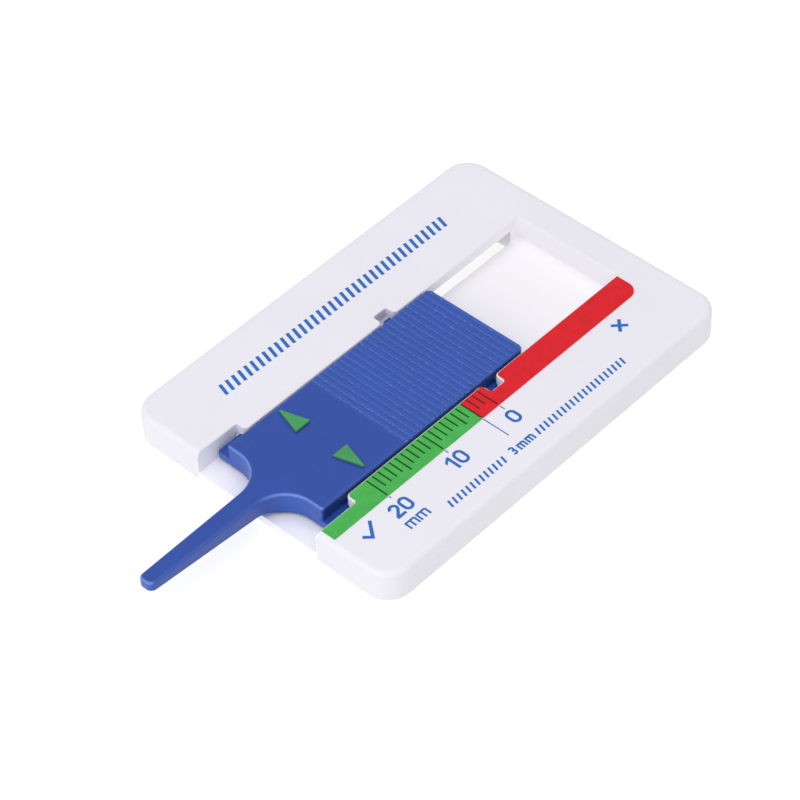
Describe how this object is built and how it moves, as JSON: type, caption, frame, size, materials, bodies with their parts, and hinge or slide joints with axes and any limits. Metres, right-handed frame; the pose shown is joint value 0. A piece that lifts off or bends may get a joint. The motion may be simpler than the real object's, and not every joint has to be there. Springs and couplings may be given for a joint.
{
  "type": "tire tread gauge",
  "caption": "Flat card with an undercut channel and a printed millimetre scale; a ribbed slider with a thin probe slides out of one end to read tyre tread depth.",
  "frame": {"origin": "centre of the card's flat back face", "axes": "+X is the way the slider retracts, so the probe points to -X; +Y is across the card, away from the printed scale; +Z comes out of the printed face"},
  "size_m": [0.081, 0.0438, 0.0056],
  "materials": {
    "white_plastic": "satin white moulded plastic",
    "blue_plastic": "satin blue moulded plastic",
    "green_ink": "satin green ink",
    "red_ink": "satin red ink",
    "blue_ink": "satin blue ink"
  },
  "bodies": {
    "card_body": {"gauge_card": "white_plastic", "scale_band_green": "green_ink", "scale_band_red": "red_ink"},
    "slider_body": {"slider": "blue_plastic", "arrow_mark_scale_side": "green_ink", "arrow_mark_far_side": "green_ink"}
  },
  "joints": [
    {"name": "slider_slide", "type": "slide", "parent": "card_body", "child": "slider_body", "axis": [1, 0, 0], "range_m": [-0.0013, 0.0175]}
  ]
}
